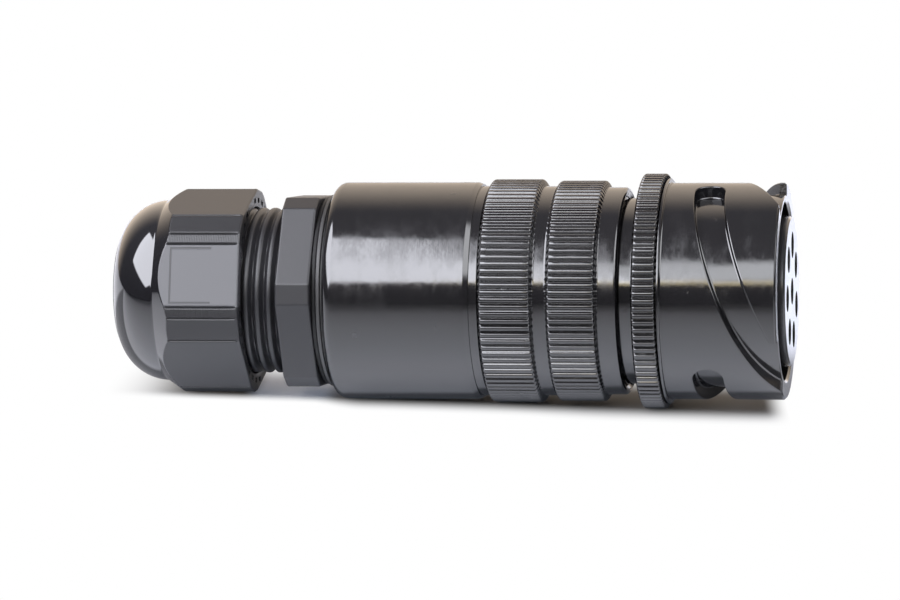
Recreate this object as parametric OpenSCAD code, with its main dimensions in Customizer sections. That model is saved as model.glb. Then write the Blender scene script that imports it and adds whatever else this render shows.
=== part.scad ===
// Reverse-bayonet in-line cable connector, receptacle half, with a dome-nut cable gland.
// +X is the connector's axis and points out of the mating face, +Z is up.
// The origin is on the axis, in the plane of the shell's front edge.
// Every piece is drawn upright, with z running back from that plane, and laid down by lay().

/* [Main sizes] */
// Length over all, from the insert's face to the cap nut's tail
overall_len = 118.2; // [114:0.1:140]

/* [Front shell] */
// Outer radius of the grooved front shell
shell_r = 18.8; // [18.3:0.1:19.6]
// Length of the grooved part, from the front edge to the flange
shell_front_len = 20.2; // [19:0.1:24]
// Radius of the bore that takes the mating shell
mating_bore_r = 15.5; // [15:0.1:16]
// Depth of that bore
mating_depth = 17; // [15:0.5:18]
// Thickness of the inner web that stops the insert
stop_web = 2; // [1.5:0.1:3]
// Radius over the knurl of the flange
flange_r = 20.4; // [19.8:0.1:22]
// Width of the flange
flange_w = 4.9; // [4:0.1:7]
// Width of the plain rim in front of the flange's knurl
flange_rim = 0.8; // [0.5:0.1:1.2]
// Radius of the neck over its thread
neck_r = 16.4; // [16.2:0.1:16.8]
// Depth of the neck's thread
neck_thread_depth = 0.8; // [0.5:0.1:1]
// Pitch of the neck's thread
neck_pitch = 1.4; // [1:0.1:1.6]
// Length of the neck behind the flange
neck_len = 10; // [9.5:0.5:12]
// Radius of the rear bore that holds the insert
rear_bore_r = 13.9; // [13.6:0.1:14.2]
// Small chamfer on turned edges
edge = 0.35; // [0.2:0.05:0.5]

/* [Bayonet grooves] */
// Number of grooves
groove_count = 3; // [2:1:4]
// Depth of a groove
groove_depth = 2.2; // [1.5:0.1:2.4]
// Width of a groove
groove_w = 5.2; // [4.5:0.1:6]
// Distance from the front edge to the middle of a groove's closed end
groove_end = 12.4; // [11:0.1:14]
// Turn from the closed end to where the groove's middle meets the front edge
ramp_sweep = 118.5; // [110:0.5:130]
// Power of the ramp: 1 is an even helix, more lies flat at the closed end
ramp_power = 1.8; // [1.5:0.05:2.2]
// Turn from the closed end to the cut tip of the front land
tip_sweep = 94.5; // [90:0.5:105]
// Turn of the grooves about the axis, from the top
clock = -9.8; // [-30:0.1:30]

/* [Insert and contacts] */
// Radius of the insert's front plug
plug_r = 13; // [12.6:0.1:13.2]
// How much slimmer the plug is where it passes through the stop web
plug_relief = 0.25; // [0.2:0.05:0.4]
// How far the plug stands out of the front edge
plug_proud = 1; // [0.5:0.1:2]
// Radius of a contact cavity at the insert's face
cavity_r = 2.3; // [2.2:0.05:2.4]
// Radius of the ring of contacts
contact_ring_r = 8.05; // [8:0.05:8.4]
// Contacts on the ring, round one in the middle
ring_contacts = 7; // [5:1:7]
// Turn of the ring of contacts about the axis, from the top
contact_turn = -33.6; // [-60:0.1:60]
// Radius of a contact's socket barrel
contact_r = 2; // [1.9:0.05:2.1]
// Radius of the hole for the mating pin
pin_hole_r = 1.25; // [1.2:0.05:1.4]
// Depth of the hole for the mating pin
pin_hole_len = 10; // [8:0.5:12]
// How far a contact lies back in its cavity
contact_recess = 1.2; // [0.8:0.1:2]
// Length of the socket barrel in front of the contact's collar
barrel_front_len = 17; // [16:0.5:18]
// Radius of the contact's collar
collar_r = 2.6; // [2.5:0.05:2.7]
// Width of the contact's collar
collar_w = 1.2; // [1:0.1:2]
// Length of the crimp barrel behind the collar
crimp_len = 16; // [14:0.5:18]
// Radius of the crimp barrel
crimp_r = 1.8; // [1.75:0.05:1.9]
// Radius of the wire hole in the crimp barrel
wire_hole_r = 1.3; // [1.2:0.05:1.4]
// Depth of the wire hole
wire_hole_len = 7; // [5:0.5:8]
// How far the retaining ring behind the insert lies inside the neck's end
clip_depth = 6; // [5:0.5:7]
// Thickness of that retaining ring
clip_t = 1; // [0.8:0.1:1.2]
// Depth of the retaining ring's groove in the shell
clip_bite = 0.6; // [0.4:0.1:0.8]
// Radial width of the retaining ring
clip_w = 1.6; // [1.4:0.1:1.8]
// Opening of the split retaining ring, in degrees
clip_split = 40; // [30:5:60]
// Cord diameter of the O-rings
o_ring_d = 1.6; // [1.4:0.1:1.8]
// Width of the land behind the neck's O-ring
o_ring_land = 1; // [0.8:0.1:1.5]

/* [Knurled sleeve] */
// Gap between the flange and the sleeve
neck_gap = 2.2; // [1.6:0.1:3]
// Radius of the sleeve's plain front shoulder
shoulder_r = 18.05; // [17.9:0.05:18.4]
// Width of the plain front shoulder
shoulder_w = 3.5; // [3:0.1:5]
// Radius over the front knurled band
front_band_r = 19.2; // [18.8:0.05:19.8]
// Width of the front knurled band
front_band_w = 8.8; // [7:0.1:10]
// Radius of the waist between the bands
waist_r = 18.25; // [18.2:0.05:18.5]
// Width of the waist
waist_w = 2.3; // [2:0.1:4]
// Radius over the rear knurled band
rear_band_r = 19.45; // [19:0.05:20]
// Width of the rear knurled band
rear_band_w = 9.5; // [8:0.1:12]
// Depth of the knurling
knurl_depth = 0.42; // [0.3:0.01:0.5]
// Number of knurl ridges on each band
knurl_teeth = 96; // [72:4:120]
// Thickness of the sleeve's inner web
sleeve_web = 2.6; // [2:0.1:3]
// Inner radius of that web
sleeve_web_r = 14; // [13.5:0.1:14.5]
// Thickness of the thrust ring in front of the web
thrust_t = 3; // [2.5:0.1:3.5]
// Inner radius of the thrust ring
thrust_r = 11.2; // [10.8:0.1:12]

/* [Rear barrel] */
// Radius of the barrel
barrel_r = 18.95; // [18.7:0.05:19.3]
// Radius of the groove between sleeve and barrel
joint_r = 18.3; // [18.2:0.05:18.5]
// Width of that groove
joint_w = 1.9; // [1:0.1:3]
// Length of the spigot that screws into the sleeve
spigot_len = 8.8; // [7:0.2:9]
// Radius of the spigot
spigot_r = 16.6; // [16.4:0.1:16.8]
// Bore of the barrel
barrel_bore_r = 14.9; // [14.6:0.1:15.2]
// Thickness of the barrel's tapped rear wall
barrel_end_wall = 8; // [6:0.5:9]
// Rounding of the barrel's rear edge
barrel_round = 1.8; // [1:0.1:2]
// Radius of the boss that the gland seats on
boss_r = 16.8; // [16.4:0.1:17]
// Height of that boss
boss_h = 1.2; // [1:0.1:3]
// Depth of the small groove at the foot of the boss
boss_groove = 0.45; // [0.3:0.05:0.6]

/* [Cable gland] */
// Thickness of the flat gasket under the gland
gasket_t = 0.7; // [0.5:0.1:1.5]
// Width across the flats of the gland's hexagon
hex_af = 33; // [32:0.5:34]
// Distance from the axis to the cut corners of the hexagon
hex_corner = 18; // [17.8:0.1:18.6]
// Width of the hexagon
hex_w = 6.1; // [5:0.1:8]
// Turn of the hexagon about the axis, from the top
hex_turn = 41.6; // [0:0.1:60]
// Radius of the thread that screws into the barrel
entry_thread_r = 14.15; // [14:0.05:14.3]
// Length of that thread
entry_thread_len = 11; // [9:0.5:12]
// Radius of the coarse thread for the cap nut
gland_thread_r = 14.5; // [14.4:0.05:14.6]
// Depth of the coarse thread
gland_thread_depth = 0.75; // [0.5:0.05:0.9]
// Pitch of the coarse thread
gland_pitch = 2.05; // [1.9:0.05:2.4]
// Length of the coarse thread's stud
gland_stud_len = 14.7; // [14:0.1:16]
// Bore of the gland body
gland_bore_r = 10.3; // [9.8:0.1:10.6]
// Outer radius of the clamping cage
cage_r = 12.1; // [11.9:0.05:12.3]
// Wall of the clamping cage
cage_wall = 1.6; // [1.4:0.1:1.7]
// Length of the cage's closed ring
cage_ring_len = 9; // [8:0.5:10]
// Length of the bevel on the fingers' tips
finger_bevel = 1.75; // [1:0.05:2]
// Number of fingers
finger_count = 12; // [8:1:14]
// Width of the slots between the fingers
finger_slot = 1; // [0.8:0.1:1.4]
// Radius of the widest cable that the seal takes
cable_r = 9; // [8.6:0.1:9.2]

/* [Cap nut] */
// Stretch of coarse thread left open between hexagon and cap nut
open_thread = 6.6; // [4.8:0.1:7]
// Turns that the cap nut moves each way
cap_turns = 2; // [1:0.25:2]
// Distance from the axis to the cap nut's flats
cap_flat = 16.6; // [16.4:0.05:17]
// How far each second flat, the label pad, stands proud
pad_proud = 0.15; // [0.05:0.05:0.3]
// Radius over the cap nut's corners
cap_corner_r = 17.95; // [17.8:0.05:18.4]
// Half the angle that a label pad spans
pad_half = 18.5; // [17:0.1:20]
// Half the angle that a plain flat spans
flat_half = 21.7; // [20:0.1:22]
// Angle of the narrow strip on each side of a label pad
strip_angle = 6.2; // [5:0.1:9]
// Turn of the cap nut about the axis, from the top
cap_turn_angle = -67.3; // [-120:0.1:120]
// Length of the cap nut's flats, from its front face
cap_flats_len = 12.1; // [11:0.1:14]
// Length of the cone from the flats to the dome
cap_cone_len = 3.4; // [3:0.1:5]
// Radius where the dome starts
dome_r = 15.9; // [15.6:0.1:16.4]
// Rounding radius of the dome
dome_round = 8.6; // [8.2:0.1:9.8]
// Radius of the cable hole
mouth_r = 9.6; // [9.3:0.1:9.8]
// Straight length of the cable hole
mouth_len = 2.2; // [1.5:0.1:3]
// Width of the coring pockets in the cap nut's front face
pocket_w = 1.5; // [1:0.1:1.6]
// Radial size of the coring pockets
pocket_t = 0.9; // [0.7:0.05:1]
// Wall between the coring pockets and the bore
pocket_wall = 0.75; // [0.6:0.05:1]
// Depth of the coring pockets
pocket_depth = 6; // [4:0.5:8]
// Turns from a corner's middle to its pockets, on each side
pocket_angle = 5.5; // [5:0.5:6]
pocket_angle_outer = 16.5; // [15:0.5:17]

/* [Clearances] */
// Radial clearance of threads and sliding fits
thread_gap = 0.15; // [0.1:0.05:0.2]
// Clearance between pieces that are seated against each other
seat_gap = 0.05; // [0:0.05:0.1]
// Radial clearance round the contacts and the insert
loose_gap = 0.1; // [0.05:0.05:0.15]
// Clearance between the cap nut's cone and the fingers
finger_gap = 0.3; // [0.2:0.05:0.5]

/* [Hidden] */
$fn = 96;
over = 1;
full_turn = 360;
// The cap nut's outline repeats three times round: label pad, strips and plain flat.
cap_third = full_turn / 3;
cap_sixth = full_turn / 6;
// Shape of a thread's ridge, as shares of the pitch: foot and crest, front and rear.
ridge = [0.02, 0.3, 0.7, 0.98];
// Steps of the groove cutter: sectors of its round end, turn between two sections, turn over
// which the land's tip is cut off, turn run past the front edge, least depth of the rear wall.
end_sectors = 6;
groove_step = 3;
tip_cut = 0.2;
run_out = 17;
least_depth = 0.5;

// Stations: distances behind the front edge, from front to rear.
flange_end = shell_front_len + flange_w;
neck_end = flange_end + neck_len;
o_ring_start = neck_end - o_ring_d - o_ring_land;
insert_step = mating_depth + stop_web;
clip_start = neck_end - clip_depth;
insert_end = clip_start - seat_gap;
grommet_start = clip_start + clip_t + seat_gap;
sleeve_start = flange_end + neck_gap;
front_band_start = sleeve_start + shoulder_w;
waist_start = front_band_start + front_band_w;
rear_band_start = waist_start + waist_w;
sleeve_end = rear_band_start + rear_band_w;
thrust_start = neck_end + 2 * loose_gap;
web_start = thrust_start + thrust_t + seat_gap;
web_end = web_start + sleeve_web;
spigot_start = sleeve_end - spigot_len;
barrel_start = sleeve_end + joint_w;
dome_len = sqrt(pow(dome_round, 2) - pow(mouth_r - dome_r + dome_round, 2));
cap_len = cap_flats_len + cap_cone_len + dome_len;
gland_len = gasket_t + 2 * seat_gap + hex_w + open_thread + cap_len;
barrel_end = overall_len - plug_proud - gland_len - boss_h;
boss_end = barrel_end + boss_h;
hex_start = boss_end + gasket_t + 2 * seat_gap;
hex_end = hex_start + hex_w;
entry_thread_start = hex_start - entry_thread_len;
stud_end = hex_end + gland_stud_len;
cap_start = hex_end + open_thread;
cap_travel = cap_turns * gland_pitch;
cap_cone_start = cap_start + cap_flats_len;
dome_start = cap_cone_start + cap_cone_len;
cage_seat = hex_end + open_thread - cap_travel + seat_gap;
cage_start = cage_seat + cap_travel + 2 * loose_gap;
cage_ring_end = cage_start + cage_ring_len;
cap_tail = dome_start + dome_len;

// The cap nut's inner cone runs from its thread to the cable hole. The fingers' tips are
// bevelled along it, and end where they meet it.
cone_start = stud_end + cap_travel + thread_gap;
cone_end = cap_tail - mouth_len;
cone_slope = (gland_thread_r + thread_gap - mouth_r) / (cone_end - cone_start);
tip_start = cone_start + (gland_thread_r - cage_r - finger_gap) / cone_slope;
cage_end = tip_start + finger_bevel;

// Radii that follow from a neighbour.
groove_floor_r = shell_r - groove_depth;
sleeve_bore_r = neck_r + thread_gap;
thrust_outer_r = neck_r - thread_gap;
insert_rear_r = rear_bore_r - loose_gap;
spigot_bore_r = spigot_r + seat_gap;
entry_hole_r = entry_thread_r + seat_gap;
cap_bore_r = gland_thread_r + thread_gap;
cage_seat_r = cage_r + thread_gap;
cage_bore_r = cage_r - cage_wall;
dome_centre_r = dome_r - dome_round;

// One arc of a profile, as [radius, station] points.
function arc(r, z, size, from, to, steps = 12) =
    [for (i = [0:steps]) let (t = from + (to - from) * i / steps) [r + size * cos(t), z + size * sin(t)]];

// The one place where a piece drawn along z is laid along the connector's axis.
module lay() {
    rotate([0, -90, 0]) children();
}

module turned(profile) {
    rotate_extrude() polygon(profile);
}

module tube(r, bore, z0, z1) {
    translate([0, 0, z0]) difference() {
        cylinder(r = r, h = z1 - z0);
        translate([0, 0, -over]) cylinder(r = bore, h = z1 - z0 + 2 * over);
    }
}

module hole(r, z0, z1) {
    translate([0, 0, z0]) cylinder(r = r, h = z1 - z0);
}

// A band of straight knurling: a toothed prism whose two ends are turned down by a chamfer.
module knurl_band(r, z0, z1, front_cut, rear_cut) {
    intersection() {
        translate([0, 0, z0]) linear_extrude(z1 - z0) polygon([
            for (i = [0:2 * knurl_teeth - 1])
                let (t = full_turn * i / (2 * knurl_teeth), p = r - knurl_depth * (i % 2))
                [p * cos(t), p * sin(t)]
        ]);
        turned([
            [0, z0 - over], [r - front_cut - over, z0 - over], [r + over, z0 + over + front_cut],
            [r + over, z1 - over - rear_cut], [r - rear_cut - over, z1 + over], [0, z1 + over]
        ]);
    }
}

// Rings of a thread's ridges on a stud, seen in section as rounded trapezia.
module thread_rings(r, depth, pitch, z0, z1) {
    count = floor((z1 - z0) / pitch);
    start = z1 - count * pitch;
    for (i = [0:count - 1]) turned([
        [0, start + pitch * (i + ridge[0])], [r - depth, start + pitch * (i + ridge[0])],
        [r, start + pitch * (i + ridge[1])], [r, start + pitch * (i + ridge[2])],
        [r - depth, start + pitch * (i + ridge[3])], [0, start + pitch * (i + ridge[3])]
    ]);
}

// Bayonet groove: middle line, half width along the axis, and the cutter that follows them.
function ramp(s) = s <= 0 ? groove_end : groove_end * (1 - pow(s / ramp_sweep, ramp_power));
function ramp_slope(s) = s <= 0 ? 0 :
    atan(groove_end * ramp_power * pow(s / ramp_sweep, ramp_power - 1) / (ramp_sweep * PI * shell_r / 180));
function half_width(s) = s < 0 ? sqrt(max(pow(seat_gap, 2), pow(groove_w / 2, 2) - pow(s * PI * shell_r / 180, 2))) :
    groove_w / 2 / cos(ramp_slope(s));

module groove_cutter() {
    round_sweep = asin(groove_w / 2 / shell_r);
    last_sweep = ramp_sweep + run_out;
    steps = concat([for (i = [end_sectors:-1:1]) -round_sweep * sin(90 * i / end_sectors)],
                   [for (s = [0:groove_step:tip_sweep - 1]) s], [tip_sweep, tip_sweep + tip_cut],
                   [for (s = [tip_sweep + groove_step:groove_step:last_sweep]) s]);
    n = len(steps);
    points = [for (s = steps)
        let (front = s > tip_sweep ? -over : ramp(s) - half_width(s),
             rear = max(ramp(s) + half_width(s), -least_depth))
        each [for (corner = [[0, front], [1, front], [1, rear], [0, rear]])
            let (r = corner[0] == 0 ? groove_floor_r : shell_r + over)
            [r * cos(s), r * sin(s), corner[1]]]];
    sides = [for (i = [0:n - 2], k = [0:3])
        let (a = 4 * i + k, b = 4 * i + (k + 1) % 4)
        each [[a, b, b + 4], [a, b + 4, a + 4]]];
    polyhedron(points, concat([[3, 2, 1, 0]], sides, [[4 * n - 4, 4 * n - 3, 4 * n - 2, 4 * n - 1]]));
}

module front_shell() {
    color([0.1, 0.1, 0.11]) lay() difference() {
        union() {
            turned([
                [0, 0], [shell_r - edge, 0], [shell_r, edge], [shell_r, shell_front_len + edge],
                [flange_r - 2 * edge, shell_front_len], [flange_r - edge / 2, shell_front_len + edge],
                [flange_r - edge / 2, shell_front_len + flange_rim],
                [flange_r - knurl_depth - edge, shell_front_len + flange_rim + edge],
                [flange_r - knurl_depth - edge, flange_end],
                [neck_r - neck_thread_depth, flange_end], [neck_r - neck_thread_depth, neck_end - edge],
                [neck_r - neck_thread_depth - edge, neck_end], [0, neck_end]
            ]);
            knurl_band(flange_r, shell_front_len + flange_rim, flange_end, edge, 2 * edge);
            thread_rings(neck_r, neck_thread_depth, neck_pitch, flange_end, o_ring_start - edge);
            hole(neck_r, o_ring_start - edge, neck_end - edge);
        }
        hole(mating_bore_r, -over, mating_depth);
        hole(plug_r + loose_gap, 0, insert_step + over);
        hole(rear_bore_r, insert_step, neck_end + over);
        hole(rear_bore_r + clip_bite, clip_start - seat_gap, clip_start + clip_t + seat_gap);
        tube(shell_r, neck_r - o_ring_d + thread_gap, o_ring_start, o_ring_start + o_ring_d + 2 * loose_gap);
        for (i = [0:groove_count - 1])
            rotate(clock + full_turn * i / groove_count) mirror([0, 1, 0]) groove_cutter();
    }
}

// Places of the contacts: the middle, then the ring.
function contact_place(i) = i == 0 ? [0, 0] :
    let (t = contact_turn + full_turn * (i - 1) / ring_contacts) contact_ring_r * [cos(t), sin(t)];
contact_front = contact_recess - plug_proud;
collar_start = contact_front + barrel_front_len;
contact_end = collar_start + collar_w + crimp_len;

module at_contacts() {
    for (i = [0:ring_contacts]) translate(contact_place(i)) children();
}

module socket_insert() {
    color([0.16, 0.16, 0.17]) lay() difference() {
        turned([
            [0, -plug_proud], [plug_r - edge, -plug_proud], [plug_r, edge - plug_proud],
            [plug_r, mating_depth], [plug_r - plug_relief, mating_depth],
            [plug_r - plug_relief, insert_step + seat_gap], [insert_rear_r, insert_step + seat_gap],
            [insert_rear_r, insert_end], [0, insert_end]
        ]);
        at_contacts() {
            hole(cavity_r, -plug_proud - over, collar_start + over);
            hole(collar_r + loose_gap, collar_start - seat_gap, collar_start + collar_w + seat_gap);
            hole(crimp_r + loose_gap, collar_start, insert_end + over);
        }
    }
}

// A turned contact: slotted socket in front, collar, crimp barrel with an inspection hole.
module socket(i) {
    color([0.85, 0.68, 0.35]) lay() translate(contact_place(i)) difference() {
        turned([
            [0, contact_front], [contact_r - edge, contact_front], [contact_r, contact_front + edge],
            [contact_r, collar_start], [collar_r, collar_start], [collar_r, collar_start + collar_w],
            [crimp_r, collar_start + collar_w], [crimp_r, contact_end], [0, contact_end]
        ]);
        hole(pin_hole_r, contact_front - over, contact_front + pin_hole_len);
        hole(wire_hole_r, contact_end - wire_hole_len, contact_end + over);
        translate([0, 0, contact_end - wire_hole_len + wire_hole_r]) rotate([90, 0, 0])
            cylinder(r = wire_hole_r / 2, h = contact_r + over);
    }
}

module insert_clip() {
    color([0.7, 0.7, 0.72]) lay() difference() {
        tube(rear_bore_r + clip_bite - seat_gap, rear_bore_r + clip_bite - clip_w, clip_start, clip_start + clip_t);
        translate([0, 0, clip_start - over]) linear_extrude(clip_t + 2 * over)
            polygon([[0, 0], for (t = [-1, 1]) 2 * shell_r * [cos(t * clip_split / 2), sin(t * clip_split / 2)]]);
    }
}

module rear_grommet() {
    color([0.3, 0.3, 0.31]) lay() difference() {
        hole(insert_rear_r, grommet_start, neck_end);
        at_contacts() hole(crimp_r + seat_gap, grommet_start - over, neck_end + over);
    }
}

module o_ring(r, z) {
    lay() rotate_extrude() translate([r + o_ring_d / 2, z + o_ring_d / 2]) circle(d = o_ring_d, $fn = 32);
}

module neck_o_ring() {
    color([0.12, 0.12, 0.12]) o_ring(neck_r - o_ring_d + thread_gap, o_ring_start + loose_gap);
}

module thrust_ring() {
    lip_r = insert_rear_r - loose_gap;
    color([0.75, 0.75, 0.72]) lay() turned([
        [thrust_r, neck_end + seat_gap], [lip_r, neck_end + seat_gap], [lip_r, thrust_start],
        [thrust_outer_r, thrust_start], [thrust_outer_r, thrust_start + thrust_t],
        [thrust_r, thrust_start + thrust_t]
    ]);
}

module knurled_sleeve() {
    color([0.1, 0.1, 0.11]) lay() difference() {
        union() {
            turned([
                [0, sleeve_start], [shoulder_r - 2 * edge, sleeve_start], [shoulder_r, sleeve_start + 2 * edge],
                [shoulder_r, waist_start], [waist_r, waist_start], [waist_r, rear_band_start],
                [waist_r, sleeve_end], [0, sleeve_end]
            ]);
            knurl_band(front_band_r, front_band_start, waist_start, 2 * edge, 2 * edge);
            knurl_band(rear_band_r, rear_band_start, sleeve_end, 2 * edge, 2 * edge);
        }
        hole(sleeve_bore_r, sleeve_start - over, web_start);
        hole(sleeve_web_r, web_start - over, web_end + over);
        hole(spigot_bore_r, web_end, sleeve_end + over);
    }
}

module rear_barrel() {
    seal_start = spigot_start + o_ring_d;
    color([0.1, 0.1, 0.11]) lay() difference() {
        turned(concat(
            [[barrel_bore_r, spigot_start], [spigot_r - edge, spigot_start], [spigot_r, spigot_start + edge],
             [spigot_r, sleeve_end + seat_gap], [joint_r, sleeve_end + seat_gap],
             [joint_r, barrel_start], [barrel_r - 2 * edge, barrel_start],
             [barrel_r, barrel_start + 2 * edge]],
            arc(barrel_r - barrel_round, barrel_end - barrel_round, barrel_round, 0, 90),
            [[boss_r - boss_groove, barrel_end], [boss_r - boss_groove, barrel_end + boss_groove],
             [boss_r, barrel_end + boss_groove], [boss_r, boss_end - edge], [boss_r - edge, boss_end],
             [entry_hole_r, boss_end], [entry_hole_r, barrel_end - barrel_end_wall],
             [barrel_bore_r, barrel_end - barrel_end_wall]]
        ));
        tube(barrel_r, spigot_r - o_ring_d + seat_gap, seal_start, seal_start + o_ring_d + 2 * loose_gap);
    }
}

module barrel_o_ring() {
    color([0.12, 0.12, 0.12]) o_ring(spigot_r - o_ring_d + seat_gap, spigot_start + o_ring_d + loose_gap);
}

module gland_gasket() {
    color([0.14, 0.14, 0.14]) lay()
        tube(boss_r - edge, entry_thread_r + loose_gap, boss_end + seat_gap, boss_end + seat_gap + gasket_t);
}

// A hexagon with its corners cut: the common part of two six-sided prisms.
module cut_hexagon(z0, z1, af, corner) {
    translate([0, 0, z0]) linear_extrude(z1 - z0) intersection() {
        circle(r = af / 2 / cos(30), $fn = 6);
        rotate(30) circle(r = corner / cos(30), $fn = 6);
    }
}

module gland_body() {
    color([0.2, 0.2, 0.21]) lay() difference() {
        union() {
            rotate(hex_turn) cut_hexagon(hex_start, hex_end, hex_af, hex_corner);
            turned([
                [0, entry_thread_start], [entry_thread_r - 2 * edge, entry_thread_start],
                [entry_thread_r, entry_thread_start + 2 * edge], [entry_thread_r, hex_start],
                [gland_thread_r - gland_thread_depth, hex_start],
                [gland_thread_r - gland_thread_depth, stud_end], [0, stud_end]
            ]);
            thread_rings(gland_thread_r, gland_thread_depth, gland_pitch, hex_end, stud_end);
        }
        hole(gland_bore_r, entry_thread_start - over, stud_end);
        hole(cage_seat_r, cage_seat, stud_end + over);
    }
}

module clamp_cage() {
    color([0.55, 0.55, 0.53]) lay() difference() {
        turned([
            [cage_bore_r, cage_start], [cage_r, cage_start], [cage_r, tip_start],
            [cage_r - finger_bevel * cone_slope, cage_end], [cage_bore_r, cage_end]
        ]);
        for (i = [0:finger_count - 1]) rotate(full_turn * (i + 1 / 2) / finger_count)
            translate([0, -finger_slot / 2, cage_ring_end])
                cube([cage_r + over, finger_slot, cage_end - cage_ring_end + over]);
    }
}

module seal_bush() {
    color([0.1, 0.1, 0.1]) lay()
        tube(cage_bore_r - seat_gap, cable_r, cage_start + edge, cage_end - edge);
}

// Outline of the cap nut's flats, going round in three equal thirds: label pad, narrow strip,
// wide strip, plain flat and back.
module cap_outline() {
    label_r = (cap_flat + pad_proud) / cos(pad_half);
    plain_r = cap_flat / cos(flat_half);
    polygon([for (k = [0:2], c = [
        [-pad_half, label_r], [pad_half, label_r], [pad_half + strip_angle, cap_corner_r],
        [cap_sixth - flat_half, plain_r], [cap_sixth + flat_half, plain_r],
        [cap_third - pad_half - strip_angle, cap_corner_r]
    ]) c[1] * [cos(cap_third * k + c[0]), sin(cap_third * k + c[0])]]);
}

module cap_nut() {
    outer_slope = (cap_corner_r - dome_r) / cap_cone_len;
    tail_turn = asin((cap_tail - dome_start) / dome_round);
    color([0.13, 0.13, 0.14]) lay() difference() {
        intersection() {
            translate([0, 0, cap_start]) rotate(cap_turn_angle)
                linear_extrude(dome_start + dome_round - cap_start) cap_outline();
            turned(concat(
                [[0, cap_start], [cap_corner_r - 2 * edge, cap_start], [cap_corner_r + edge, cap_start + 3 * edge],
                 [cap_corner_r + edge, cap_cone_start - edge / outer_slope]],
                arc(dome_centre_r, dome_start, dome_round, 0, tail_turn, 16),
                [[0, cap_tail]]
            ));
        }
        turned([
            [0, cap_start - over], [cap_bore_r + edge, cap_start - over], [cap_bore_r + edge, cap_start],
            [cap_bore_r, cap_start + edge], [cap_bore_r, cone_start], [mouth_r, cone_end],
            [mouth_r, cap_tail + over], [0, cap_tail + over]
        ]);
        for (k = [0:5], t = [-pocket_angle_outer, -pocket_angle, pocket_angle, pocket_angle_outer])
            rotate(cap_turn_angle + cap_sixth * (k + 1 / 2) + t)
                translate([cap_bore_r + pocket_wall, -pocket_w / 2, cap_start - over])
                    cube([pocket_t, pocket_w, pocket_depth + over]);
    }
}

front_shell();
socket_insert();
for (i = [0:ring_contacts])
    socket(i);
insert_clip();
rear_grommet();
neck_o_ring();
thrust_ring();
knurled_sleeve();
rear_barrel();
barrel_o_ring();
gland_gasket();
gland_body();
clamp_cage();
seal_bush();
cap_nut();
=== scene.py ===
import math

import bmesh
import bpy
import numpy as np
from mathutils import Matrix, Vector


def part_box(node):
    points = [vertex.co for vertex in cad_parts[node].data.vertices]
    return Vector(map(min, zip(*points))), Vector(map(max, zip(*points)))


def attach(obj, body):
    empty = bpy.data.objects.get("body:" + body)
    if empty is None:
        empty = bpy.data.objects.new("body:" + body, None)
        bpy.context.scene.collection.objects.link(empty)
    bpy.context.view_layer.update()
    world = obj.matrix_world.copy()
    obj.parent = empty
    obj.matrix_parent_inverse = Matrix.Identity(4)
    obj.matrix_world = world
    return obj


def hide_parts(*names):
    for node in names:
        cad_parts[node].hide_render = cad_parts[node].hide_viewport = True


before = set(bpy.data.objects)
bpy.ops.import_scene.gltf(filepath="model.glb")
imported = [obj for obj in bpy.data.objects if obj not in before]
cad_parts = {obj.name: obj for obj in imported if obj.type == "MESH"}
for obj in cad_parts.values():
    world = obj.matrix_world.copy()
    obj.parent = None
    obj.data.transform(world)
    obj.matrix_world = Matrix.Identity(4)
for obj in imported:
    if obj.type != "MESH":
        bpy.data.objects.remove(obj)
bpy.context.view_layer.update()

MM = 0.001
FULL = 2 * math.pi
RNG = np.random.default_rng(11)
# turn of the first groove's start, and radius over the front shell in mm
CLOCK = math.radians(-9.8)
SHELL_R = 18.8
# points of one solid closer than this, in metres, are one point
MERGE, MERGE_COPY, DEGENERATE = 2e-7, 1e-6, 1e-7


def span(node):
    """Distances of a node's front and rear ends behind the front edge, and its largest radius, in mm."""
    low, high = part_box(node)
    return -high.x / MM, -low.x / MM, max(high.z, -low.z, high.y, -low.y) / MM


# ---------------- surfaces

def volume(points, faces):
    """Signed volume of a closed surface: a sixth of the sum of each triangle's triple product."""
    total = 0.0
    for face in faces:
        p = points[list(face)]
        total += np.einsum("ij,ij->i", np.cross(p[1:-1], p[2:]), np.broadcast_to(p[0], p[2:].shape)).sum()
    return total / 6


def grid_volume(points, quads):
    """Signed volume of a closed surface of quads, by the same sum."""
    a, b, c, d = (points[quads[:, k]] for k in range(4))
    return (np.einsum("ij,ij->i", np.cross(b, c), a) + np.einsum("ij,ij->i", np.cross(c, d), a)).sum() / 6


def dress(mesh, material, body, sharp, stands_for, merge=MERGE):
    """Links a mesh as a piece on a body: doubled points merged, faces smooth up to the given angle."""
    work = bmesh.new()
    work.from_mesh(mesh)
    bmesh.ops.remove_doubles(work, verts=work.verts, dist=merge)
    bmesh.ops.dissolve_degenerate(work, edges=work.edges, dist=DEGENERATE)
    work.to_mesh(mesh)
    work.free()
    mesh.shade_smooth()
    mesh.set_sharp_from_angle(angle=math.radians(sharp))
    mesh.materials.clear()
    mesh.materials.append(material)
    obj = bpy.data.objects.new(mesh.name, mesh)
    bpy.context.scene.collection.objects.link(obj)
    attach(obj, body)
    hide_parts(*stands_for)


def piece(name, points, faces, material, body, slot, stands_for, sharp=32):
    """A piece made of points in mm and of faces that look outward."""
    mesh = bpy.data.meshes.new(name)
    mesh.from_pydata((np.asarray(points) * MM).tolist(), [], [list(map(int, f)) for f in faces])
    dress(mesh, material, body, sharp, stands_for)


def around(station, radius, turn):
    """Points at a distance behind the front edge, a radius and a turn from the top, towards +Y."""
    station, radius, turn = np.broadcast_arrays(station, radius, turn)
    return np.stack([-station, radius * np.sin(turn), radius * np.cos(turn)], -1)


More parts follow.
